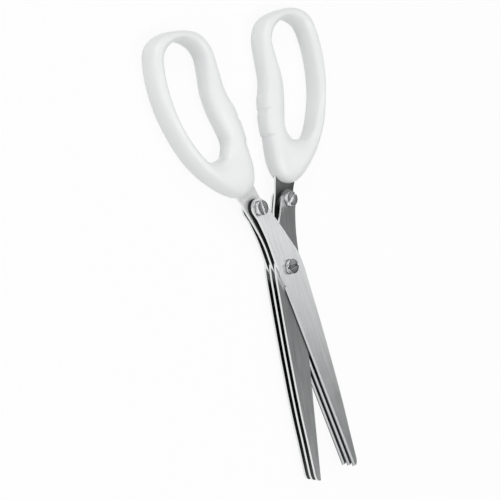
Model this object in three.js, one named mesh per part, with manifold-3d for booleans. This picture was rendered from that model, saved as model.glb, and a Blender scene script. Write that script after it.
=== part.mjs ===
// Herb scissors: three pairs of blades on one pivot, two of them carried by spacers, with two
// looped plastic handles. Millimetres, +Z up. The scissors lie on their back with the slotted
// screw heads up. The Z axis is the pivot's axis, +Y points from the pivot to the handles, and
// z = 0 is the surface that they lie on. They are open by twice halfOpening.

import * as THREE from "three";
import { mergeVertices } from "three/addons/utils/BufferGeometryUtils.js";
import Module from "manifold-3d";

const wasm = await Module();
wasm.setup();

// How far each arm is turned from the closed pose
const halfOpening = THREE.MathUtils.degToRad(7.1);

// Blades, with the front one's length measured from the pivot to the tip. Each blade behind it is
// shorter by the tip step.
const bladeLength = 90;
const tipStep = 0.4;
const bladeWidth = 15;
const bladeThickness = 1;
const bevelWidth = 0.65;
const edgeLand = 0.45;
const bevelRunOut = 6;
const pairPitch = 2.85;
const slideGap = 0.06;

// Arms, from the pivot to the screw that ties the three blades of one side together
const armReach = 28.1;
const armOffset = 6.4;
const armEndRadius = 4.2;

// Screws, sleeve nuts and spacers
const headRadius = 3.1;
const headHeight = 1.9;
const headChamfer = 0.3;
const rearHeadHeight = 1.1;
const slotWidth = 1;
const slotDepth = 0.6;
const sleeveRadius = 2;
const sleeveInset = 0.4;
const shankRadius = 1.35;
const shankLength = 4.6;
const shankEndRoom = 0.5;
const spacerRadius = 2.6;
const runningClearance = 0.05;
const threadClearance = 0.1;
const seatGap = 0.02;
const cutOverrun = 1;

// Handles
const handleWidth = 40;
const handleLength = 75;
const handleThickness = 10;
const tangClearance = 0.3;
const gripDepth = 0.45;

// Counts and angles
const roundSides = 32;
const sectionPoints = 20;
const sideSteps = 3;
const armArcSteps = 24;
const armArcStart = 0.35;
const armArcEnd = 3.39;
const pivotSlotTurn = 0.07;
const leftSlotTurn = 1.55;
const rightSlotTurn = 0.72;

// The blade's right side, from the tip up to the arm: across as shares of bladeWidth, along as
// shares of bladeLength
const spineShares = [
  [0.137, -0.961], [0.218, -0.833], [0.297, -0.718], [0.36, -0.6], [0.407, -0.483],
  [0.45, -0.363], [0.483, -0.244], [0.51, -0.127], [0.527, -0.039], [0.513, 0.007],
  [0.467, 0.055],
];
// The rounded end of the tip, from the cutting edge round to the spine
const tipShares = [[-0.05, -1], [0.04, -0.999], [0.092, -0.991], [0.124, -0.977]];
// The heel, from the arm down to the cutting edge
const heelShares = [[-0.487, 0.055], [-0.472, -0.02], [-0.427, -0.1]];
// The inner side of the arm with its end, and the outer side: across as shares of bladeWidth,
// along as shares of armReach
const armInnerShares = [[0.35, 0.338], [0.117, 0.664]];
const armEndShares = [[0.022, 0.775], [-0.062, 0.887]];
const armOuterShares = [[-0.612, 0.85], [-0.553, 0.68], [-0.51, 0.52], [-0.492, 0.35]];
// The wider neck of a middle blade, which becomes the tang in the handle
const neckInnerShares = [[0.05, 0.852], [-0.047, 1.004], [-0.115, 1.13], [-0.165, 1.25]];
const tangShares = [
  [-0.215, 1.36], [-0.3, 1.48], [-0.4, 1.62], [-0.51, 1.69], [-0.76, 1.69], [-0.86, 1.6],
  [-0.93, 1.45], [-0.965, 1.31],
];
const neckOuterShares = [
  [-0.945, 1.25], [-0.885, 1.185], [-0.84, 1.125], [-0.812, 1.055], [-0.745, 0.935],
  [-0.67, 0.815], [-0.57, 0.62], [-0.517, 0.485], [-0.492, 0.35],
];

// Where the handle starts, as a share of armReach
const handleStartShare = 1.245;
const handleStart = handleStartShare * armReach;
// The handle's limb as a loop of ribs, each from the finger hole to the outer side: across as
// shares of handleWidth, along as shares of handleLength
const outerShares = [
  [0.075, 0.587], [0.075, 0.713], [0.088, 0.833], [0.188, 0.927], [0.4, 0.973], [0.66, 0.992],
  [0.86, 0.957], [0.952, 0.873], [1, 0.74], [1, 0.6], [0.95, 0.46], [0.862, 0.313],
  [0.712, 0.18], [0.512, 0.067], [0.312, 0], [0.125, 0.02], [0.038, 0.1], [0.02, 0.213],
  [-0.008, 0.34], [0.02, 0.467],
];
const holeShares = [
  [0.325, 0.607], [0.275, 0.707], [0.237, 0.793], [0.3, 0.867], [0.45, 0.92], [0.625, 0.92],
  [0.762, 0.873], [0.825, 0.787], [0.85, 0.687], [0.85, 0.573], [0.812, 0.46], [0.737, 0.36],
  [0.662, 0.287], [0.562, 0.247], [0.462, 0.24], [0.362, 0.247], [0.3, 0.28], [0.262, 0.327],
  [0.287, 0.4], [0.325, 0.5],
];
// Ribs made between one named rib and the next, with more of them at the finger steps
const coarseSteps = 4;
const fineSteps = 10;
const fineRibs = [17, 18, 19];
// The stepped finger rest on the inner side, from its top down: how far along as shares of
// handleLength, and how far out as shares of gripDepth
const gripShares = [
  [0.547, 0], [0.513, 0.05], [0.482, 0.65], [0.44, 0.1], [0.408, -0.65], [0.392, 0.45],
  [0.34, -0.1], [0.301, 0.1], [0.283, -1], [0.24, 0],
];
// How square the section is on a limb and on the web
const limbSquareness = 2.3;
const webSquareness = 4;
const limbWidthShare = 0.25;
const webWidthShare = 0.5;

// Heights of the planes where the mated blades meet, from the rear pair to the front pair
const rearBladeBottom = rearHeadHeight + seatGap;
const rearPlane = rearBladeBottom + bladeThickness + slideGap / 2;
const planes = [rearPlane, rearPlane + pairPitch, rearPlane + 2 * pairPitch];
const handleMiddle = planes[1];

const bladeSteel = { color: 0xb9bcbd, metalness: 0.9, roughness: 0.35 };
const screwSteel = { color: 0xa4a7a9, metalness: 0.95, roughness: 0.25 };
const whitePlastic = { color: 0xe6e8e8, metalness: 0, roughness: 0.3 };

const spot = (x, y) => new THREE.Vector2(x, y);
const placed = (shares, across, along) => shares.map(([x, y]) => spot(x * across, y * along));

// Points along a smooth curve through the given points
function smooth(points) {
  return new THREE.SplineCurve(points).getPoints((points.length - 1) * sideSteps);
}

function circle(x, y, radius, sides) {
  const points = [];
  for (let i = 0; i < sides; i++) {
    const turn = (-2 * Math.PI * i) / sides;
    points.push(spot(x + radius * Math.cos(turn), y + radius * Math.sin(turn)));
  }
  return points;
}

// Outline of a blade, anticlockwise from the tip's cutting corner. A middle blade has the tang.
function bladeOutline(level, hasTang) {
  const length = bladeLength - tipStep * (planes.length - 1 - level);
  const tip = placed(tipShares, bladeWidth, length);
  const spine = placed(spineShares, bladeWidth, length);
  const inner = placed(armInnerShares, bladeWidth, armReach);
  const heel = placed(heelShares, bladeWidth, bladeLength);
  let end;
  let outer;
  if (hasTang) {
    inner.push(...placed(neckInnerShares, bladeWidth, armReach));
    end = placed(tangShares, bladeWidth, armReach);
    outer = placed(neckOuterShares, bladeWidth, armReach);
  } else {
    inner.push(...placed(armEndShares, bladeWidth, armReach));
    end = [];
    for (let i = 0; i <= armArcSteps; i++) {
      const turn = armArcStart + ((armArcEnd - armArcStart) * i) / armArcSteps;
      end.push(spot(
        -armOffset + armEndRadius * Math.cos(turn),
        armReach + armEndRadius * Math.sin(turn),
      ));
    }
    outer = placed(armOuterShares, bladeWidth, armReach);
  }
  return [...tip, ...smooth([...spine, ...inner]), ...end, ...smooth([...outer, ...heel])];
}

// The same outline with the cutting edge ground back, fading out towards the heel
function groundOutline(outline) {
  const fadeStart = heelShares.at(-1)[1] * bladeLength + bevelRunOut;
  return outline.map((point, i) => {
    const isCutting = i === 0 || i > outline.length / 2;
    const fade = isCutting ? THREE.MathUtils.clamp((fadeStart - point.y) / bevelRunOut, 0, 1) : 0;
    return spot(point.x + bevelWidth * fade, point.y);
  });
}

// A closed plate through outlines with as many points each, from the lowest [outline, height] up,
// with round holes through it
function plate(sections, holes) {
  const positions = [];
  const starts = [];
  for (const [contour, z] of sections) {
    for (const ring of [contour, ...holes]) {
      starts.push(positions.length / 3);
      for (const point of ring) positions.push(point.x, point.y, z);
    }
  }
  const rings = [sections[0][0], ...holes];
  const layer = positions.length / 3 / sections.length;
  const last = layer * (sections.length - 1);
  const index = [];
  for (const [a, b, c] of THREE.ShapeUtils.triangulateShape(sections[0][0], holes)) index.push(c, b, a);
  for (const [a, b, c] of THREE.ShapeUtils.triangulateShape(sections.at(-1)[0], holes)) {
    index.push(a + last, b + last, c + last);
  }
  for (let base = 0; base < last; base += layer) {
    rings.forEach((ring, r) => {
      for (let i = 0; i < ring.length; i++) {
        const a = base + starts[r] + i;
        const b = base + starts[r] + ((i + 1) % ring.length);
        index.push(a, b, b + layer, a, b + layer, a + layer);
      }
    });
  }
  const geometry = new THREE.BufferGeometry();
  geometry.setAttribute("position", new THREE.Float32BufferAttribute(positions, 3));
  geometry.setIndex(index);
  return geometry;
}

// The mirror image across the YZ plane, with its faces still pointing out
function mirrored(geometry) {
  geometry.scale(-1, 1, 1);
  const index = geometry.getIndex();
  for (let i = 0; i < index.count; i += 3) {
    const first = index.getX(i);
    index.setX(i, index.getX(i + 2));
    index.setX(i + 2, first);
  }
  return geometry;
}

function toSolid(geometry) {
  const bare = geometry.clone();
  bare.deleteAttribute("normal");
  bare.deleteAttribute("uv");
  const merged = mergeVertices(bare);
  return new wasm.Manifold(new wasm.Mesh({
    numProp: 3,
    vertProperties: new Float32Array(merged.getAttribute("position").array),
    triVerts: new Uint32Array(merged.getIndex().array),
  }));
}

function toGeometry(solid) {
  const mesh = solid.getMesh();
  const geometry = new THREE.BufferGeometry();
  geometry.setAttribute("position", new THREE.Float32BufferAttribute(mesh.vertProperties, 3));
  geometry.setIndex(Array.from(mesh.triVerts));
  return geometry;
}

function piece(name, geometry, finish) {
  geometry.computeVertexNormals();
  const mesh = new THREE.Mesh(geometry, new THREE.MeshStandardMaterial(finish));
  mesh.name = name;
  return mesh;
}

// A round solid from a profile of [radius, height] pairs that starts and ends on the axis, or
// closes on itself
function turned(profile) {
  return new THREE.LatheGeometry(profile.map(([r, z]) => spot(r, z)), roundSides).rotateX(Math.PI / 2);
}

// One blade. The left arm's blades lie on their cutting plane and are ground on the front face,
// and the right arm's hang below it and are ground on the rear face. A narrow upright land is left
// at the cutting edge.
function blade(level, hasTang, isRight) {
  const outline = bladeOutline(level, hasTang);
  const ground = groundOutline(outline);
  const holes = [
    circle(0, 0, sleeveRadius + runningClearance, roundSides),
    circle(-armOffset, armReach, sleeveRadius + runningClearance, roundSides),
  ];
  if (isRight) {
    const top = planes[level] - slideGap / 2;
    const sections = [[ground, top - bladeThickness], [outline, top - edgeLand], [outline, top]];
    return mirrored(plate(sections, holes));
  }
  const bottom = planes[level] + slideGap / 2;
  const sections = [[outline, bottom], [outline, bottom + edgeLand], [ground, bottom + bladeThickness]];
  return plate(sections, holes);
}

// Slotted cheese-head screw whose shank is held in a sleeve nut. seat is the face under its head.
function screw(seat, slotTurn) {
  const low = seat + seatGap;
  const high = low + headHeight;
  const round = turned([
    [0, low - shankLength], [shankRadius, low - shankLength], [shankRadius, low],
    [headRadius, low], [headRadius, high - headChamfer], [headRadius - headChamfer, high], [0, high],
  ]);
  const cutLength = 2 * (headRadius + cutOverrun);
  const cutHeight = slotDepth + cutOverrun;
  const cut = new THREE.BoxGeometry(cutLength, slotWidth, cutHeight);
  cut.rotateZ(slotTurn);
  cut.translate(0, 0, high - slotDepth + cutHeight / 2);
  return toGeometry(toSolid(round).subtract(toSolid(cut)));
}

// Sleeve nut: a low rear head under the face at seat, and a sleeve that the blades turn on or
// are held by, up to just below the face at top
function sleeveNut(seat, top) {
  const high = seat - seatGap;
  const low = high - rearHeadHeight;
  const sleeveTop = top - sleeveInset;
  const boreBottom = top + seatGap - shankLength - shankEndRoom;
  const boreRadius = shankRadius + threadClearance;
  return turned([
    [0, low], [headRadius - headChamfer, low], [headRadius, low + headChamfer], [headRadius, high],
    [sleeveRadius, high], [sleeveRadius, sleeveTop], [boreRadius, sleeveTop],
    [boreRadius, boreBottom], [0, boreBottom],
  ]);
}

function spacer(bottom, top) {
  const inner = sleeveRadius + runningClearance;
  const low = bottom + seatGap;
  const high = top - seatGap;
  return turned([
    [inner, low], [spacerRadius, low], [spacerRadius, high], [inner, high], [inner, low],
  ]);
}

// Point on a closed smooth curve through the given points, a share u of the way from point i
// to the next one
function loopPoint(points, i, u) {
  const at = (k) => points[(k + points.length) % points.length];
  const [a, b, c, d] = [at(i - 1), at(i), at(i + 1), at(i + 2)];
  const mix = (p, q, r, s) => 0.5 * (2 * q + (r - p) * u + (2 * p - 5 * q + 4 * r - s) * u * u
    + (3 * q - p - 3 * r + s) * u * u * u);
  return spot(mix(a.x, b.x, c.x, d.x), mix(a.y, b.y, c.y, d.y));
}

// How far the finger rest stands out at a place along the handle, or is set back if below zero
function gripRelief(y) {
  const along = (y - handleStart) / handleLength;
  for (let i = 1; i < gripShares.length; i++) {
    const [high, outHigh] = gripShares[i - 1];
    const [low, outLow] = gripShares[i];
    if (along <= high && along > low) {
      return gripDepth * THREE.MathUtils.mapLinear(along, high, low, outHigh, outLow);
    }
  }
  return 0;
}

// The rounded section of one rib, from the finger hole's side out and round
function ribSection(inside, out, hasSteps) {
  const width = out.distanceTo(inside) / handleWidth;
  const web = THREE.MathUtils.clamp((width - limbWidthShare) / (webWidthShare - limbWidthShare), 0, 1);
  const power = 2 / (limbSquareness + (webSquareness - limbSquareness) * web);
  const points = [];
  for (let j = 0; j < sectionPoints; j++) {
    const turn = (2 * Math.PI * j) / sectionPoints;
    const across = Math.sign(Math.cos(turn)) * Math.abs(Math.cos(turn)) ** power;
    const up = Math.sign(Math.sin(turn)) * Math.abs(Math.sin(turn)) ** power;
    const point = inside.clone().lerp(out, 0.5 + 0.5 * across);
    const relief = hasSteps && across > 0 ? gripRelief(point.y) * across : 0;
    points.push(point.x + relief, point.y, handleMiddle + (up * handleThickness) / 2);
  }
  return points;
}

// The handle's solid loop
function handleLoop() {
  const inHandle = ([x, y]) => spot(-x * handleWidth, handleStart + y * handleLength);
  const outer = outerShares.map(inHandle);
  const hole = holeShares.map(inHandle);
  const positions = [];
  for (let i = 0; i < outer.length; i++) {
    const hasSteps = fineRibs.includes(i);
    const steps = hasSteps ? fineSteps : coarseSteps;
    for (let s = 0; s < steps; s++) {
      const inside = loopPoint(hole, i, s / steps);
      positions.push(...ribSection(inside, loopPoint(outer, i, s / steps), hasSteps));
    }
  }
  const ribs = positions.length / 3 / sectionPoints;
  const index = [];
  for (let i = 0; i < ribs; i++) {
    for (let j = 0; j < sectionPoints; j++) {
      const a = i * sectionPoints + j;
      const b = i * sectionPoints + ((j + 1) % sectionPoints);
      const c = ((i + 1) % ribs) * sectionPoints + j;
      const d = ((i + 1) % ribs) * sectionPoints + ((j + 1) % sectionPoints);
      index.push(a, d, b, a, c, d);
    }
  }
  const geometry = new THREE.BufferGeometry();
  geometry.setAttribute("position", new THREE.Float32BufferAttribute(positions, 3));
  geometry.setIndex(index);
  return geometry;
}

// An outline moved outwards by the same distance all along
function grown(points, distance) {
  return points.map((point, i) => {
    const before = points[(i + points.length - 1) % points.length];
    const after = points[(i + 1) % points.length];
    const one = point.clone().sub(before).normalize();
    const two = after.clone().sub(point).normalize();
    const bisector = spot(one.y + two.y, -one.x - two.x).normalize();
    const stretch = Math.max(one.y * bisector.x - one.x * bisector.y, 0.5);
    return point.clone().add(bisector.multiplyScalar(distance / stretch));
  });
}

// Handle with the pocket that its blade's tang is moulded into
function handle(isRight) {
  const inner = placed(neckInnerShares.slice(-2), bladeWidth, armReach);
  const end = placed(tangShares, bladeWidth, armReach);
  const outer = placed(neckOuterShares.slice(0, 2), bladeWidth, armReach);
  const pocket = grown([...inner, ...end, ...outer], tangClearance);
  const tangBottom = isRight
    ? planes[1] - slideGap / 2 - bladeThickness
    : planes[1] + slideGap / 2;
  const bottom = tangBottom - tangClearance;
  const top = tangBottom + bladeThickness + tangClearance;
  const cut = plate([[pocket, bottom], [pocket, top]], []);
  const solid = toGeometry(toSolid(handleLoop()).subtract(toSolid(cut)));
  return isRight ? mirrored(solid) : solid;
}

// One arm: its three blades, handle, tie screw, nut and the two spacers between its blades
function arm(side) {
  const isRight = side === "right";
  const group = new THREE.Group();
  group.rotation.z = isRight ? -halfOpening : halfOpening;
  const screwX = isRight ? armOffset : -armOffset;
  const faces = planes.map((plane) => (isRight
    ? [plane - slideGap / 2 - bladeThickness, plane - slideGap / 2]
    : [plane + slideGap / 2, plane + slideGap / 2 + bladeThickness]));
  const tie = new THREE.Group();
  tie.position.set(screwX, armReach, 0);
  tie.add(
    piece(`${side}_arm_screw`, screw(faces[2][1], isRight ? rightSlotTurn : leftSlotTurn), screwSteel),
    piece(`${side}_arm_nut`, sleeveNut(faces[0][0], faces[2][1]), screwSteel),
    piece(`${side}_arm_front_spacer`, spacer(faces[1][1], faces[2][0]), screwSteel),
    piece(`${side}_arm_rear_spacer`, spacer(faces[0][1], faces[1][0]), screwSteel),
  );
  group.add(
    piece(`${side}_handle`, handle(isRight), whitePlastic),
    piece(`${side}_front_blade`, blade(2, false, isRight), bladeSteel),
    piece(`${side}_tang_blade`, blade(1, true, isRight), bladeSteel),
    piece(`${side}_rear_blade`, blade(0, false, isRight), bladeSteel),
    tie,
  );
  return group;
}

// The pivot: screw, sleeve nut, and a spacer between each pair of blades and the next
function pivot() {
  const group = new THREE.Group();
  const frontFace = planes[2] + slideGap / 2 + bladeThickness;
  const lift = slideGap / 2 + bladeThickness;
  group.add(
    piece("pivot_screw", screw(frontFace, pivotSlotTurn), screwSteel),
    piece("pivot_nut", sleeveNut(rearBladeBottom, frontFace), screwSteel),
    piece("pivot_front_spacer", spacer(planes[1] + lift, planes[2] - lift), screwSteel),
    piece("pivot_rear_spacer", spacer(planes[0] + lift, planes[1] - lift), screwSteel),
  );
  return group;
}

const scissors = new THREE.Group();
scissors.add(arm("left"), arm("right"), pivot());

export default scissors;
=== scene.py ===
import math

import bmesh
import bpy
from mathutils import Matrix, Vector


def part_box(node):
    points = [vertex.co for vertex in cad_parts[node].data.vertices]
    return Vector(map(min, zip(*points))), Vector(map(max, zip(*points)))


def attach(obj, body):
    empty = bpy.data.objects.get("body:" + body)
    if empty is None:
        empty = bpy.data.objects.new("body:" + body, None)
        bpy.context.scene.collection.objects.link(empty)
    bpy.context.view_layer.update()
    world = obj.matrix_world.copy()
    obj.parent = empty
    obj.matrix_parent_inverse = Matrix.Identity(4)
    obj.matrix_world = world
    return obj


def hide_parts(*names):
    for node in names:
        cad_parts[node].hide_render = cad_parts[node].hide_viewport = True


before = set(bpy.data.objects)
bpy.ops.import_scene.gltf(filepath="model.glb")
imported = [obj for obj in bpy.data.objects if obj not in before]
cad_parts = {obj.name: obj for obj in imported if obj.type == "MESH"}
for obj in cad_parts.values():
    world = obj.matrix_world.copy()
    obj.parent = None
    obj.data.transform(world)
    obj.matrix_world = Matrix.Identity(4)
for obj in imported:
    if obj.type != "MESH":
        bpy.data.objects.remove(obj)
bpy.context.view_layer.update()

mm = 0.001
armTurn = math.radians(7.1)                    # each arm is open this far from the middle line


# Shader maths: a wrapped socket, so that sums on values add their Math nodes
class Value:
    def __init__(self, tree, socket):
        self.tree = tree
        self.socket = socket

    def node(self, kind, settings=None, inputs=None, output=0):
        made = self.tree.nodes.new(kind)
        for name, value in (settings or {}).items():
            setattr(made, name, value)
        for name, value in (inputs or {}).items():
            if isinstance(value, Value):
                self.tree.links.new(value.socket, made.inputs[name])
            else:
                made.inputs[name].default_value = value
        return Value(self.tree, made.outputs[output])

    def maths(self, operation, *values):
        return self.node("ShaderNodeMath", {"operation": operation}, dict(enumerate(values)))

    def __add__(self, other):
        return self.maths("ADD", self, other)

    def __sub__(self, other):
        return self.maths("SUBTRACT", self, other)

    def __rsub__(self, other):
        return self.maths("SUBTRACT", other, self)

    def __mul__(self, other):
        return self.maths("MULTIPLY", self, other)

    __radd__ = __add__
    __rmul__ = __mul__

    def absolute(self):
        return self.maths("ABSOLUTE", self)

    def larger(self, other):
        return self.maths("MAXIMUM", self, other)

    def between(self, low, high):              # 0 at low and below, 1 at high and above
        return self.node("ShaderNodeMapRange", {"clamp": True},
                         {"Value": self, "From Min": low, "From Max": high})

    def band(self, low, high, soft):           # 1 from low to high, with soft ends, 0 outside
        return self.between(low, low + soft) * (1 - self.between(high - soft, high))

    def mixed(self, first, second):            # a colour from first to second as this goes 0 to 1
        return self.node("ShaderNodeMix", {"data_type": "RGBA"}, {0: self, 6: first, 7: second}, 2)

    def part(self, axis):                      # x, y or z of a vector
        return self.node("ShaderNodeSeparateXYZ", None, {0: self}, axis)

    def stretched(self, factors):
        return self.node("ShaderNodeVectorMath", {"operation": "MULTIPLY"}, {0: self, 1: factors})

    def fromAxis(self, centre):                # how far a place lies from an upright axis
        shifted = self.node("ShaderNodeMapping", None,
                            {"Vector": self, "Location": (-centre.x, -centre.y, 0)})
        flat = shifted.stretched((1, 1, 0))
        return flat.node("ShaderNodeVectorMath", {"operation": "LENGTH"}, {0: flat}, 1)

    def noise(self, scale, detail):
        return self.node("ShaderNodeTexNoise", None,
                         {"Vector": self, "Scale": scale, "Detail": detail})

    def bump(self, strength, distance):
        return self.node("ShaderNodeBump", None,
                         {"Height": self, "Strength": strength, "Distance": distance})


def newMaterial(name):
    material = bpy.data.materials.new(name)
    material.use_nodes = True
    tree = material.node_tree
    shader = tree.nodes["Principled BSDF"]
    place = Value(tree, tree.nodes.new("ShaderNodeTexCoord").outputs["Object"])
    return material, shader, place


def facing(place, axis):                       # how far a face looks along x, y or z
    normal = place.tree.nodes.new("ShaderNodeNewGeometry").outputs["Normal"]
    return Value(place.tree, normal).part(axis)


def levelness(place):                          # 1 where a face looks straight forward or back,
    return facing(place, 2).absolute()         # 0 on a side


def feed(shader, **links):                     # Base_Color=value links that socket of the shader
    for name, value in links.items():
        value.tree.links.new(value.socket, shader.inputs[name.replace("_", " ")])


# Handles' plastic: white, smooth moulded, with a faint grain and a slight unevenness of tone
plasticLook = {
    "white": (0.80, 0.815, 0.81, 1), "shade": (0.765, 0.785, 0.78, 1),
    "unevenScale": 45, "unevenDetail": 2, "unevenLimits": (0.3, 0.7),
    "grainScale": 2600, "grainDetail": 4, "grainDepth": 0.012 * mm, "grainStrength": 0.25,
    "roughness": 0.34, "roughnessSpread": 0.1, "refraction": 1.46,
}


def makePlastic():
    look = plasticLook
    material, shader, place = newMaterial("handlePlastic")
    uneven = place.noise(look["unevenScale"], look["unevenDetail"]).between(*look["unevenLimits"])
    grain = place.noise(look["grainScale"], look["grainDetail"])
    feed(shader, Base_Color=uneven.mixed(look["shade"], look["white"]),
         Roughness=(grain - 0.5) * look["roughnessSpread"] + look["roughness"],
         Normal=grain.bump(look["grainStrength"], look["grainDepth"]))
    shader.inputs["IOR"].default_value = look["refraction"]
    return material


# Blades' steel: brushed along each blade, with a finer ground bevel and bright cut sides
bladeLook = {
    "face": (0.53, 0.538, 0.542, 1), "faceShade": (0.42, 0.428, 0.432, 1),
    "side": (0.86, 0.865, 0.87, 1), "sideShade": (0.74, 0.745, 0.75, 1),
    "faceLimits": (0.4, 0.6), "sideLimits": (0.35, 0.65),      # of the noise, from shade to full
    # The bevel's darker colour is painted shade, for the dark line along the blade's edge
    "bevel": (0.4, 0.405, 0.41, 1),
    # A face is flat or a bevel where it looks this far forward or back
    "flatLimits": (0.9, 0.97), "bevelLimits": (0.15, 0.35),
    # The cutting edge gets painted shade, a dark line where the blades meet, from here on below
    # the pivot, where it looks this far inward
    "cutting": (0.1, 0.102, 0.104, 1),
    "cuttingStart": (6 * mm, 9 * mm), "cuttingLimits": (0.3, 0.6),
    # Between the blades of one arm the faces get painted shade, this far behind the outer ones
    "inner": (0.1, 0.102, 0.104, 1), "innerDepth": 0.2 * mm,
    # On the middle blade the painted shade ends here above the pivot, and then comes the tang's
    # colour: painted light on the left arm, painted shade on the right
    "innerEnd": {"left": (14 * mm, 18 * mm), "right": (24 * mm, 42 * mm)},
    # The tang's colours are painted light on the left arm and painted shade on the right
    "tang": {"left": (0.75, 0.75, 0.75, 1), "right": (0.3, 0.3, 0.3, 1)},
    "tangRoughness": {"left": 0.3, "right": 0}, "tangMargin": 0.3 * mm,
    # The painted shade also falls under the arms of the outer blades, as their painted shadow:
    # their middle line and half width at the pivot, each with its slope, the round end's radius,
    # and the fade below the end's centre
    "armMiddle": (2.65 * mm, -0.322), "armHalfWidth": (7.0 * mm, -0.1),
    "armEndRadius": 4.2 * mm, "armEndFade": 0.3 * mm,
    "softEdge": 0.2 * mm,                      # width of the masks' edges
    # Noise scales across, along and through a blade, and each noise's share in the grain
    "fineGrain": (2500, 60, 2500), "coarseGrain": (900, 60, 900), "groundGrain": (400, 6000, 400),
    "cloudScale": 90, "fineDetail": 3, "coarseDetail": 4,
    "fineShare": 0.35, "coarseShare": 0.4, "cloudShare": 0.25, "groundShare": 0.05,
    "grainDepth": 0.002 * mm,
    "faceRoughness": 0.32, "sideRoughness": 0.22, "roughnessSpread": 0.12,
    "lean": {"left": 0, "right": 0.33},        # slopes of the faces along the blade, at the pivot
    "bow": {"left": 0.55, "right": -0.6},      # and how much the slope changes per metre
}


def underArm(side, place, across, length):     # 1 in the outline of an outer blade's arm, where the middle blade gets painted shadow
    look = bladeLook
    low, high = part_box(side + "_arm_screw")
    centre = (low + high) / 2
    reach = math.hypot(centre.x, centre.y)
    soft = look["softEdge"] / 2
    middleStart, middleSlope = look["armMiddle"]
    widthStart, widthSlope = look["armHalfWidth"]
    aside = (across - length * middleSlope - middleStart).absolute()
    inside = (length * widthSlope + widthStart - aside).between(-soft, soft)
    below = 1 - length.between(reach - look["armEndFade"], reach)
    fromEnd = place.fromAxis(centre)
    atEnd = 1 - fromEnd.between(look["armEndRadius"] - soft, look["armEndRadius"] + soft)
    return atEnd.larger(inside * below)


def bladeMasks(side, place, across, length):   # 0 where a face gets painted shade; 1 outside, 0 inside
    look = bladeLook
    depth = place.part(2)
    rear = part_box(side + "_rear_blade")[0].z + look["innerDepth"]
    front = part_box(side + "_front_blade")[1].z - look["innerDepth"]
    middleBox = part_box(side + "_tang_blade")
    outside = 1 - depth.band(rear, front, look["softEdge"])
    onMiddle = depth.band(middleBox[0].z - look["tangMargin"],
                          middleBox[1].z + look["tangMargin"], look["softEdge"])
    onTang = onMiddle * length.between(*look["innerEnd"][side])
    shadedUnderArm = underArm(side, place, across, length)
    shown = outside.larger(onTang * (1 - shadedUnderArm))
    return shown, outside


def makeBladeSteel(side, sign):                # the sign is 1 for the left arm, -1 for the right
    look = bladeLook
    material, shader, place = newMaterial(side + "BladeSteel")
    along = place.node("ShaderNodeMapping", None,
                       {"Vector": place, "Rotation": (0, 0, -sign * armTurn)})
    across, length = along.part(0) * sign, along.part(1)
    fine = along.stretched(look["fineGrain"]).noise(1, look["fineDetail"])
    coarse = along.stretched(look["coarseGrain"]).noise(1, look["coarseDetail"])
    cloud = along.noise(look["cloudScale"], look["fineDetail"])
    ground = along.stretched(look["groundGrain"]).noise(1, look["fineDetail"])
    grain = fine * look["fineShare"] + coarse * look["coarseShare"] + cloud * look["cloudShare"]

    polished = grain.between(*look["faceLimits"]).mixed(look["faceShade"], look["face"])
    shown, outside = bladeMasks(side, place, across, length)
    # Painted shade between the blades and in the arms' painted shadow; the tang gets its painted
    # light or shade
    faceColour = shown.mixed(look["inner"], outside.mixed(look["tang"][side], polished))
    sideColour = ground.between(*look["sideLimits"]).mixed(look["sideShade"], look["side"])
    # The inward cut sides below the pivot get painted shade: a dark line where the blades meet
    inward = (facing(place, 0) * -sign).between(*look["cuttingLimits"])
    cutting = inward * (length * -1).between(*look["cuttingStart"])
    edgeColour = cutting.mixed(sideColour, look["cutting"])
    level = levelness(place)
    flat = level.between(*look["flatLimits"])
    # The bevel gets its darker colour, which is painted shade
    groundColour = level.between(*look["bevelLimits"]).mixed(edgeColour, look["bevel"])

    height = (flat * fine + (1 - flat) * ground * look["groundShare"]) * look["grainDepth"]
    height = height - length * look["lean"][side] - length * length * (look["bow"][side] / 2)
    rough = flat * (look["faceRoughness"] - look["sideRoughness"]) + look["sideRoughness"]
    rough = rough + flat * (1 - outside) * look["tangRoughness"][side]
    feed(shader, Base_Color=flat.mixed(groundColour, faceColour),
         Roughness=rough + (grain - 0.5) * look["roughnessSpread"],
         Normal=height.bump(1, 1))
    shader.inputs["Metallic"].default_value = 1
    return material


# Screws', nuts' and spacers' steel: turned, with fine rings round its own axis
screwLook = {
    # The flat faces' dark tone is a painted dark reflection; the sides keep the steel's bright
    # colour
    "face": (0.24, 0.244, 0.248, 1), "faceShade": (0.1, 0.102, 0.104, 1),
    "side": (0.8, 0.805, 0.81, 1),
    "faceLimits": (0.7, 0.95),                 # how far a face looks forward or back
    "slotFloor": {"pivot": (0.12, 0.122, 0.124, 1)},       # the pivot's slot floor is painted shade; the others take the sides' bright colour as a painted highlight
    "slotFloorLimits": (0.1 * mm, 0.2 * mm),
    "mottleScale": 2200, "mottleDetail": 4, "mottleLimits": (0.25, 0.75),
    "ringPitch": 0.16 * mm, "ringShare": 0.5, "reliefDepth": 0.004 * mm, "reliefStrength": 0.06,
    "roughness": 0.27, "roughnessSpread": 0.2,
}


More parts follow.
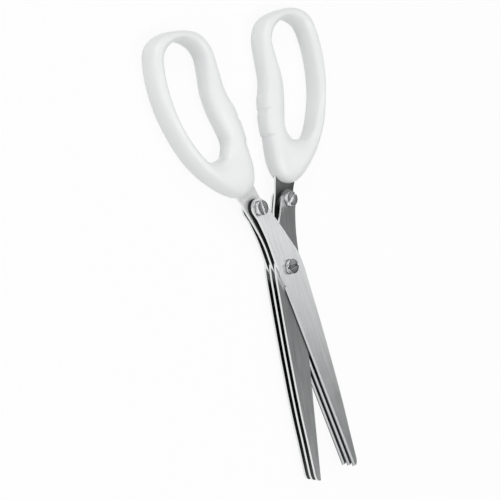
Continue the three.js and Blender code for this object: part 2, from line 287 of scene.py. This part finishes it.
def makeScrewSteel(part, name, centre, slotFloor):
    look = screwLook
    material, shader, place = newMaterial(name + "Steel")
    phase = place.fromAxis(centre) * (2 * math.pi / look["ringPitch"])
    rings = phase.maths("SINE", phase)
    mottle = place.noise(look["mottleScale"], look["mottleDetail"])
    turned = mottle.between(*look["mottleLimits"]).mixed(look["faceShade"], look["face"])
    # Slot floors: painted shade on the pivot's, a painted highlight in the sides' colour on the
    # arm screws'
    offFloor = (place.part(2) - slotFloor).absolute().between(*look["slotFloorLimits"])
    faceColour = offFloor.mixed(look["slotFloor"].get(part, look["side"]), turned)
    # Flat faces get the painted dark reflection, the sides the bright steel colour
    flat = levelness(place).between(*look["faceLimits"])
    relief = rings * look["ringShare"] + mottle
    feed(shader, Base_Color=flat.mixed(look["side"], faceColour),
         Roughness=(mottle - 0.5) * look["roughnessSpread"] + look["roughness"],
         Normal=relief.bump(look["reliefStrength"], look["reliefDepth"]))
    shader.inputs["Metallic"].default_value = 1
    return material


print("materials are made")


def onlySelect(piece=None):
    if bpy.context.object and bpy.context.object.mode != "OBJECT":
        bpy.ops.object.mode_set(mode="OBJECT")
    bpy.ops.object.select_all(action="DESELECT")
    if piece:
        piece.select_set(True)
        bpy.context.view_layer.objects.active = piece


def editAll(piece):                            # in edit mode, with all of the mesh selected
    onlySelect(piece)
    bpy.ops.object.mode_set(mode="EDIT")
    bpy.ops.mesh.select_all(action="SELECT")


def selectPoints(piece, wanted):               # in edit mode: selects vertices by their numbers
    bpy.ops.mesh.select_all(action="DESELECT")
    mesh = bmesh.from_edit_mesh(piece.data)
    mesh.verts.ensure_lookup_table()
    for number in wanted:
        mesh.verts[number].select = True
    mesh.select_flush(True)
    bmesh.update_edit_mesh(piece.data)


def selectAtHeight(piece, kind, height):       # in edit mode: selects edges or faces there
    bpy.ops.mesh.select_mode(type=kind)
    bpy.ops.mesh.select_all(action="DESELECT")
    mesh = bmesh.from_edit_mesh(piece.data)
    for element in mesh.edges if kind == "EDGE" else mesh.faces:
        element.select = all(abs(vertex.co.z - height) < 0.01 * mm for vertex in element.verts)
    mesh.select_flush_mode()
    bmesh.update_edit_mesh(piece.data)


def applyPlace(piece):                         # puts the object at the origin, its mesh stays
    onlySelect(piece)
    bpy.ops.object.transform_apply(location=True, rotation=True, scale=True)


def applyModifier(piece, kind, **settings):
    onlySelect(piece)
    modifier = piece.modifiers.new(kind.title(), kind)
    for name, value in settings.items():
        setattr(modifier, name, value)
    bpy.ops.object.modifier_apply(modifier=modifier.name)


def giveMaterial(piece, material):
    piece.data.materials.clear()
    piece.data.materials.append(material)


def finishPiece(piece, material, node, body):
    giveMaterial(piece, material)
    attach(piece, body)
    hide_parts(node)


# Handles, in mm in the left arm's own frame: the pivot at the origin, the blade straight down,
# the handle up and to the left. Each station goes from the finger hole to the outer side.
handleValues = {
    "middle": 5.0, "halfThickness": 5.0,
    "outer": [(-3, 79), (-3, 88.5), (-3.5, 97.5), (-7.5, 104.5), (-16, 108), (-26.5, 109.37),
              (-34.4, 106.8), (-38, 100.5), (-40, 90.5), (-40, 80), (-38, 69.5), (-34.5, 58.5),
              (-28.5, 48.5), (-20.5, 40), (-12.5, 35), (-5, 36.5), (-1.5, 42.5), (-0.8, 51),
              (0.3, 60.5), (-0.8, 70)],
    "hole": [(-13, 80.5), (-11, 88), (-9.5, 94.5), (-12, 100), (-18, 104), (-25, 104),
             (-30.5, 100.5), (-33, 94), (-34, 86.5), (-34, 78), (-32.5, 69.5), (-29.5, 62),
             (-26.5, 56.5), (-22.5, 53.5), (-18.5, 53), (-14.5, 53.5), (-12, 56), (-10.5, 59.5),
             (-11.5, 65), (-13, 72.5)],
    "stepsBetween": 5, "gripStations": (17, 18, 19), "gripStepsBetween": 18,
    # The section is squarer where the loop is wide: 2 would be an ellipse
    "limbWidth": 10, "limbSquareness": 2.3, "webWidth": 20, "webSquareness": 3.0,
    # The finger rest's steps: heights, with how far each stands out or in as a share of the depth
    "gripDepth": 0.6,
    "gripSteps": [(76, 0), (73.5, 0.1), (71.2, 0.6), (67.1, 0.25), (66.6, -0.6), (64, 0.3),
                  (61.5, 0.1), (56, 0.25), (55.5, -0.6), (51, 0)],
    # They start and are full at these shares of the half width, where they stand out and in
    "gripFade": {1: (0.35, 0.7), -1: (0.15, 0.4)},
}
sectionPoints = 8                              # of the loop's cage, before it is subdivided


def loopPoint(points, station, share):         # on a closed smooth curve through the points
    a, b, c, d = (Vector(points[(station + k) % len(points)]) for k in (-1, 0, 1, 2))
    return 0.5 * (2 * b + (c - a) * share + (2 * a - 5 * b + 4 * c - d) * share ** 2
                  + (3 * b - a - 3 * c + d) * share ** 3)


def clamped(share):
    return min(max(share, 0), 1)


def sectionCage(width):                        # how far the cage's points stand out on an axis,
    values = handleValues                      # and those on a corner as a share of that
    web = clamped((width - values["limbWidth"]) / (values["webWidth"] - values["limbWidth"]))
    squareness = values["limbSquareness"] + (
        values["webSquareness"] - values["limbSquareness"]) * web
    # The subdivided loop passes through (4 * point + its two neighbours) / 6
    passed = 2 ** (-1 / squareness)
    corner = (12 * passed - 3) / 7
    axis = 6 * passed - 4 * corner
    return axis, corner / axis / math.sqrt(0.5)


def handleStations():
    values = handleValues
    stations = []
    for number in range(len(values["outer"])):
        grip = number in values["gripStations"]
        steps = values["gripStepsBetween"] if grip else values["stepsBetween"]
        for step in range(steps):
            outer = loopPoint(values["outer"], number, step / steps)
            hole = loopPoint(values["hole"], number, step / steps)
            across = outer - hole
            axis, corner = sectionCage(across.length)
            stations.append({"middle": (outer + hole) / 2, "width": across.length,
                             "turn": math.atan2(across.y, across.x),
                             "axis": axis, "corner": corner, "grip": grip})
    return stations


def gripRelief(height):
    steps = handleValues["gripSteps"]
    for (high, outHigh), (low, outLow) in zip(steps, steps[1:]):
        if low < height <= high:
            share = (high - height) / (high - low)
            return outHigh + (outLow - outHigh) * share
    return 0


def pressGrip(handle, stations):               # presses the finger rest's steps out and in
    onlySelect(handle)
    groups = {1: handle.vertex_groups.new(name="gripOut"),
              -1: handle.vertex_groups.new(name="gripIn")}
    for vertex in handle.data.vertices:
        point = Vector(vertex.co.xy) / mm
        relief = gripRelief(point.y)
        if point.x < stations[0]["middle"].x or not relief:
            continue
        station = min(stations, key=lambda station: (station["middle"] - point).length)
        outward = Vector((math.cos(station["turn"]), math.sin(station["turn"])))
        share = (point - station["middle"]).dot(outward) / (station["width"] / 2)
        sign = math.copysign(1, relief)
        fadeStart, fadeEnd = handleValues["gripFade"][sign]
        fade = clamped((share - fadeStart) / (fadeEnd - fadeStart))
        if fade:
            groups[sign].add([vertex.index], abs(relief) * fade, "REPLACE")
    for sign, group in groups.items():
        applyModifier(handle, "DISPLACE", strength=sign * handleValues["gripDepth"] * mm,
                      mid_level=0, vertex_group=group.name)
    handle.vertex_groups.clear()


def makeHandle():
    values = handleValues
    stations = handleStations()
    first = stations[0]
    centre = Vector((*first["middle"], values["middle"])) * mm
    onlySelect()
    bpy.ops.mesh.primitive_circle_add(vertices=sectionPoints, radius=mm, location=centre,
                                      rotation=(math.radians(90), 0, first["turn"]))
    handle = bpy.context.object
    applyPlace(handle)
    editAll(handle)
    bpy.ops.mesh.select_mode(type="VERT")
    before = {"middle": first["middle"], "width": 2, "turn": first["turn"],
              "axis": 1, "corner": 1}          # the circle, 1 mm in radius
    height = 1
    for number, station in enumerate(stations):
        centre = Vector((*station["middle"], values["middle"])) * mm
        if number:
            shift = Vector((*(station["middle"] - before["middle"]), 0)) * mm
            bpy.ops.mesh.extrude_edges_move(TRANSFORM_OT_translate={"value": shift})
            bpy.ops.transform.rotate(value=before["turn"] - station["turn"], orient_axis="Z",
                                     center_override=centre)
        cosine, sine = math.cos(station["turn"]), math.sin(station["turn"])
        across = {"orient_type": "GLOBAL", "orient_matrix_type": "GLOBAL",
                  "orient_matrix": ((cosine, sine, 0), (-sine, cosine, 0), (0, 0, 1)),
                  "center_override": centre}
        grown = station["axis"] / before["axis"]
        wider = grown * station["width"] / before["width"]
        taller = grown * values["halfThickness"] / height
        bpy.ops.transform.resize(value=(wider, 1, taller), **across)
        squarer = station["corner"] / before["corner"]
        start = number * sectionPoints
        selectPoints(handle, range(start + 1, start + sectionPoints, 2))
        bpy.ops.transform.resize(value=(squarer, 1, squarer), **across)
        selectPoints(handle, range(start, start + sectionPoints))
        before = station
        height = values["halfThickness"]
    last = (len(stations) - 1) * sectionPoints
    selectPoints(handle, [*range(sectionPoints), *range(last, last + sectionPoints)])
    bpy.ops.mesh.bridge_edge_loops()
    applyModifier(handle, "SUBSURF", levels=2, render_levels=2)
    editAll(handle)
    bpy.ops.mesh.normals_make_consistent(inside=False)
    pressGrip(handle, [station for station in stations if station["grip"]])
    onlySelect(handle)
    bpy.ops.object.shade_smooth()
    return handle


plastic = makePlastic()
leftHandle = makeHandle()
leftHandle.name = "leftHandle"
onlySelect(leftHandle)
bpy.ops.object.duplicate()
rightHandle = bpy.context.object
rightHandle.name = "rightHandle"
rightHandle.scale.x = -1
applyPlace(rightHandle)
editAll(rightHandle)
bpy.ops.mesh.normals_make_consistent(inside=False)
onlySelect()
for handle, side, sign in ((leftHandle, "left", 1), (rightHandle, "right", -1)):
    handle.rotation_euler.z = sign * armTurn
    applyPlace(handle)
    finishPiece(handle, plastic, side + "_handle", side + "_arm")
print("handles are made")


# Screws and sleeve nuts, in mm. Their places and seats come from the frame's own nodes.
screwValues = {
    "sides": 72, "headRadius": 3.1, "smoothAngle": 30,
    "headHeight": 1.9, "shankRadius": 1.35, "shankLength": 4.6,
    "rim": 0.15, "rimSegments": 3, "foot": 0.3, "footSegments": 2,
    "slotWidth": 1.0, "slotDepth": 0.6,        # and each slot's turn in radians
    "slotTurns": {"pivot": 0.07, "left_arm": 1.55 + armTurn, "right_arm": 0.72 - armTurn},
    "edge": 0.05, "edgeSegments": 2, "edgeAngle": 50,
    "rearHeight": 1.1, "rearRimSegments": 4,
    "sleeveRadius": 2.0, "boreRadius": 1.45, "boreShare": 0.6,     # of the nut's height
}


def nodeAxis(node):
    low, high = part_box(node)
    return (low + high) / 2, low.z, high.z


def addHead(x, y, z, thickness):               # in edit mode: a round head, its middle at x, y, z
    values = screwValues
    onlySelect()
    bpy.ops.mesh.primitive_cylinder_add(vertices=values["sides"], radius=values["headRadius"] * mm,
                                        depth=thickness * mm, location=(x, y, z))
    head = bpy.context.object
    applyPlace(head)
    bpy.ops.object.mode_set(mode="EDIT")
    return head


def roundEdge(piece, height, width, segments):
    selectAtHeight(piece, "EDGE", height)
    bpy.ops.mesh.bevel(offset=width * mm, segments=segments, affect="EDGES")


def pullOut(inset, distance):                  # insets the selected face and moves the inner one
    bpy.ops.mesh.inset(thickness=inset * mm)
    bpy.ops.mesh.extrude_region_move(TRANSFORM_OT_translate={"value": (0, 0, distance)})


def cutSlot(screw, middle, high, slotTurn):
    values = screwValues
    onlySelect()
    bpy.ops.mesh.primitive_cube_add(size=1, location=(middle.x, middle.y, high),
                                    rotation=(0, 0, slotTurn))
    cutter = bpy.context.object
    # Longer than the head is wide, and half of it above the head
    size = (values["headRadius"] * 3, values["slotWidth"], values["slotDepth"] * 2)
    cutter.scale = Vector(size) * mm
    applyPlace(cutter)
    applyModifier(screw, "BOOLEAN", operation="DIFFERENCE", object=cutter, solver="EXACT")
    bpy.data.objects.remove(cutter)


def makeScrew(part, slotTurn):
    values = screwValues
    middle, _, high = nodeAxis(part + "_screw")
    bottom = high - values["headHeight"] * mm
    screw = addHead(middle.x, middle.y, high - values["headHeight"] * mm / 2, values["headHeight"])
    roundEdge(screw, high, values["rim"], values["rimSegments"])
    roundEdge(screw, bottom, values["foot"], values["footSegments"])
    selectAtHeight(screw, "FACE", bottom)
    pullOut(values["headRadius"] - values["foot"] - values["shankRadius"],
            -values["shankLength"] * mm)
    cutSlot(screw, middle, high, slotTurn)
    applyModifier(screw, "BEVEL", width=values["edge"] * mm, segments=values["edgeSegments"],
                  limit_method="ANGLE", angle_limit=math.radians(values["edgeAngle"]))
    bpy.ops.object.shade_smooth_by_angle(angle=math.radians(values["smoothAngle"]))
    return screw


def makeNut(part):
    values = screwValues
    middle, low, high = nodeAxis(part + "_nut")
    headTop = low + values["rearHeight"] * mm
    nut = addHead(middle.x, middle.y, (low + headTop) / 2, values["rearHeight"])
    roundEdge(nut, low, values["rim"], values["rearRimSegments"])
    selectAtHeight(nut, "FACE", headTop)
    pullOut(values["headRadius"] - values["sleeveRadius"], high - headTop)
    pullOut(values["sleeveRadius"] - values["boreRadius"], -values["boreShare"] * (high - low))
    onlySelect(nut)
    bpy.ops.object.shade_smooth_by_angle(angle=math.radians(values["smoothAngle"]))
    return nut


for part, slotTurn in screwValues["slotTurns"].items():
    name = part.replace("_a", "A")
    body = "right_arm" if part == "right_arm" else "left_arm"
    middle, _, high = nodeAxis(part + "_screw")
    steel = makeScrewSteel(part, name, middle, high - screwValues["slotDepth"] * mm)
    screw = makeScrew(part, slotTurn)
    screw.name = name + "Screw"
    finishPiece(screw, steel, part + "_screw", body)
    nut = makeNut(part)
    nut.name = name + "Nut"
    finishPiece(nut, steel, part + "_nut", body)
    for place in ("front", "rear"):
        giveMaterial(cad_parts[f"{part}_{place}_spacer"], steel)
print("screws and nuts are made")


# Blades: the frame's own, with their cut edges rounded
bladeValues = {
    "mergeDistance": 0.001 * mm, "flatAngle": 0.5,
    "edge": 0.15 * mm, "edgeSegments": 2, "edgeAngle": 60, "smoothAngle": 20,
}


def makeBlade(node):
    values = bladeValues
    blade = bpy.data.objects.new(node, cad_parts[node].data.copy())
    bpy.context.collection.objects.link(blade)
    editAll(blade)
    bpy.ops.mesh.remove_doubles(threshold=values["mergeDistance"])
    bpy.ops.mesh.dissolve_limited(angle_limit=math.radians(values["flatAngle"]))
    applyModifier(blade, "BEVEL", width=values["edge"], segments=values["edgeSegments"],
                  limit_method="ANGLE", angle_limit=math.radians(values["edgeAngle"]))
    bpy.ops.object.shade_smooth_by_angle(angle=math.radians(values["smoothAngle"]))
    return blade


for side, sign in (("left", 1), ("right", -1)):
    steel = makeBladeSteel(side, sign)
    for layer in ("front", "tang", "rear"):
        node = f"{side}_{layer}_blade"
        blade = makeBlade(node)
        blade.name = side + layer.title() + "Blade"
        finishPiece(blade, steel, node, side + "_arm")
print("blades are made")


# Studio: a white floor and surround, soft lamps, and the camera, in metres
studio = {
    "floorSize": 5, "floorDrop": 0.3 * mm,
    "wallRadius": 2.4, "wallHeight": 0.5, "wallSides": 64, "wallSunk": 1 * mm,
    "floorColour": (0.78, 0.78, 0.78, 1), "floorRoughness": 0.9, "floorSpecular": 0.1,
    "ownLight": 0.92,                          # white to the camera and in reflections
    "roomColour": (0.25, 0.2535, 0.2535, 1),
    "lamps": {                                 # place, width, depth, and power in watts
        "top": ((0.12, -0.5, 1.3), 0.9, 0.6, 7.4),
        "end": ((-0.25, 1.1, 0.9), 1.6, 0.8, 9),
        "fill": ((-0.9, -0.24, 0.84), 1.5, 0.8, 5),
        "side": ((-1.3, 0.1, 0.35), 1.0, 0.6, 1.8),
        "face": ((0.86, 0.0, 0.83), 0.4, 0.4, 1.0),        # small: mirrored in the flat steel
    },
}


def makeStageMaterial():
    material, shader, place = newMaterial("stageWhite")
    tree = material.node_tree
    shader.inputs["Base Color"].default_value = studio["floorColour"]
    shader.inputs["Roughness"].default_value = studio["floorRoughness"]
    shader.inputs["Specular IOR Level"].default_value = studio["floorSpecular"]
    path = tree.nodes.new("ShaderNodeLightPath")
    camera, glossy, transmission = (Value(tree, path.outputs[f"Is {kind} Ray"])
                                    for kind in ("Camera", "Glossy", "Transmission"))
    mask = (camera + glossy + transmission).between(0, 1) * studio["ownLight"]
    glow = place.node("ShaderNodeEmission", None, {"Color": (1, 1, 1, 1), "Strength": 1.0})
    bsdf = Value(tree, shader.outputs[0])
    mix = place.node("ShaderNodeMixShader", None, {0: mask, 1: bsdf, 2: glow})
    tree.links.new(mix.socket, tree.nodes["Material Output"].inputs["Surface"])
    return material


stageMaterial = makeStageMaterial()
onlySelect()
bpy.ops.mesh.primitive_plane_add(size=studio["floorSize"], location=(0, 0, -studio["floorDrop"]))
floor = bpy.context.object
floor.name = "floor"
bpy.ops.mesh.primitive_cylinder_add(
    vertices=studio["wallSides"], radius=studio["wallRadius"], depth=studio["wallHeight"],
    end_fill_type="NOTHING", location=(0, 0, studio["wallHeight"] / 2 - studio["wallSunk"]))
wall = bpy.context.object
wall.name = "surround"
bpy.ops.object.shade_smooth()
for stagePiece in (floor, wall):
    stagePiece.data.materials.append(stageMaterial)

world = bpy.data.worlds.new("room")
bpy.context.scene.world = world
world.use_nodes = True
background = world.node_tree.nodes["Background"]
background.inputs["Color"].default_value = studio["roomColour"]
background.inputs["Strength"].default_value = 1.0

for name, (place, width, depth, power) in studio["lamps"].items():
    bpy.ops.object.light_add(type="AREA", location=place)
    lamp = bpy.context.object
    lamp.name = name + "Lamp"
    lamp.data.shape = "RECTANGLE"
    lamp.data.size = width
    lamp.data.size_y = depth
    lamp.data.energy = power
    lamp.rotation_euler = (-Vector(place)).to_track_quat("-Z", "Y").to_euler()

cameraValues = {                               # place, lens and sensor in mm, turn in degrees
    "place": (-635.9, 79.9, 608.9), "turn": (9.0, -45.168, -18.91), "lens": 151.73, "sensor": 36,
    "nearest": 10 * mm, "farthest": 50,
}
bpy.ops.object.camera_add(location=Vector(cameraValues["place"]) * mm,
                          rotation=[math.radians(angle) for angle in cameraValues["turn"]])
camera = bpy.context.object
camera.name = "camera"
camera.data.lens = cameraValues["lens"]
camera.data.sensor_width = cameraValues["sensor"]
camera.data.clip_start = cameraValues["nearest"]
camera.data.clip_end = cameraValues["farthest"]
bpy.context.scene.camera = camera
bpy.context.scene.view_settings.view_transform = "Standard"
print("studio is made")
